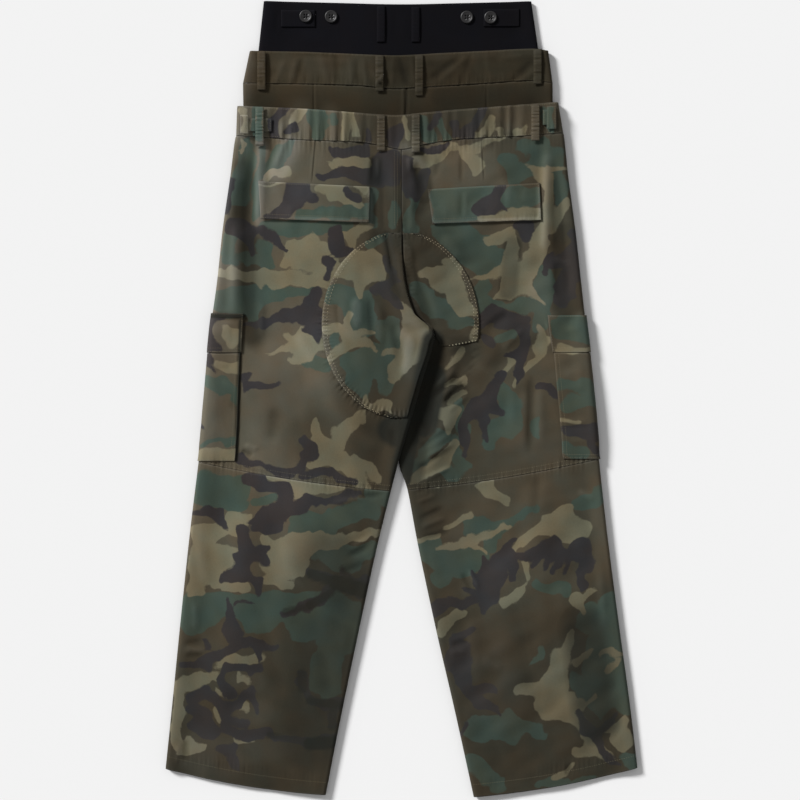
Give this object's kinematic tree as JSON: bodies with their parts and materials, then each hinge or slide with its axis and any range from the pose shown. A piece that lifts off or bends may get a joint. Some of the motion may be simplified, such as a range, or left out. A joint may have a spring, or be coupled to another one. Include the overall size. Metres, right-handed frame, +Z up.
{
  "type": "cargo trousers with three stacked waists",
  "caption": "Wide-leg cargo trousers in camouflage twill with olive and black layered waists, laid flat on their front, back side up.",
  "frame": {"origin": "centre of the bounding box on the surface that the trousers lie on", "axes": "+X right of the back view, +Y from the hems to the waist, +Z up from the surface"},
  "size_m": [0.659, 1.1121, 0.0184],
  "materials": {
    "outer_cloth": "washed cotton twill in a common four-colour camouflage",
    "middle_cloth": "washed olive-brown cotton twill",
    "inner_cloth": "smooth black cotton twill",
    "button_horn": "dark four-hole plastic, soft gloss"
  },
  "bodies": {
    "root": {"back_flap_L": "outer_cloth", "back_flap_R": "outer_cloth", "back_shin_L": "outer_cloth", "back_shin_R": "outer_cloth", "back_thigh_L": "outer_cloth", "back_thigh_R": "outer_cloth", "cargo_flap_L": "outer_cloth", "cargo_flap_R": "outer_cloth", "cargo_pocket_L": "outer_cloth", "cargo_pocket_R": "outer_cloth", "fly_placket": "outer_cloth", "front_L": "outer_cloth", "front_R": "outer_cloth", "front_button": "button_horn", "inner_back": "inner_cloth", "inner_button_1": "button_horn", "inner_button_2": "button_horn", "inner_button_3": "button_horn", "inner_button_4": "button_horn", "inner_front": "inner_cloth", "inner_loop_1": "inner_cloth", "inner_loop_2": "inner_cloth", "inner_tab_L": "inner_cloth", "inner_tab_R": "inner_cloth", "middle_back": "middle_cloth", "middle_front": "middle_cloth", "middle_loop_1": "middle_cloth", "middle_loop_2": "middle_cloth", "middle_loop_3": "middle_cloth", "middle_loop_4": "middle_cloth", "middle_waistband_back": "middle_cloth", "outer_loop_1": "outer_cloth", "outer_loop_2": "outer_cloth", "outer_loop_3": "outer_cloth", "outer_loop_4": "outer_cloth", "outer_waistband_back": "outer_cloth", "outer_waistband_front": "outer_cloth", "seat_patch_L": "outer_cloth", "seat_patch_R": "outer_cloth", "side_keeper_L": "outer_cloth", "side_keeper_R": "outer_cloth", "side_tab_L": "outer_cloth", "side_tab_R": "outer_cloth"}
  },
  "joints": []
}
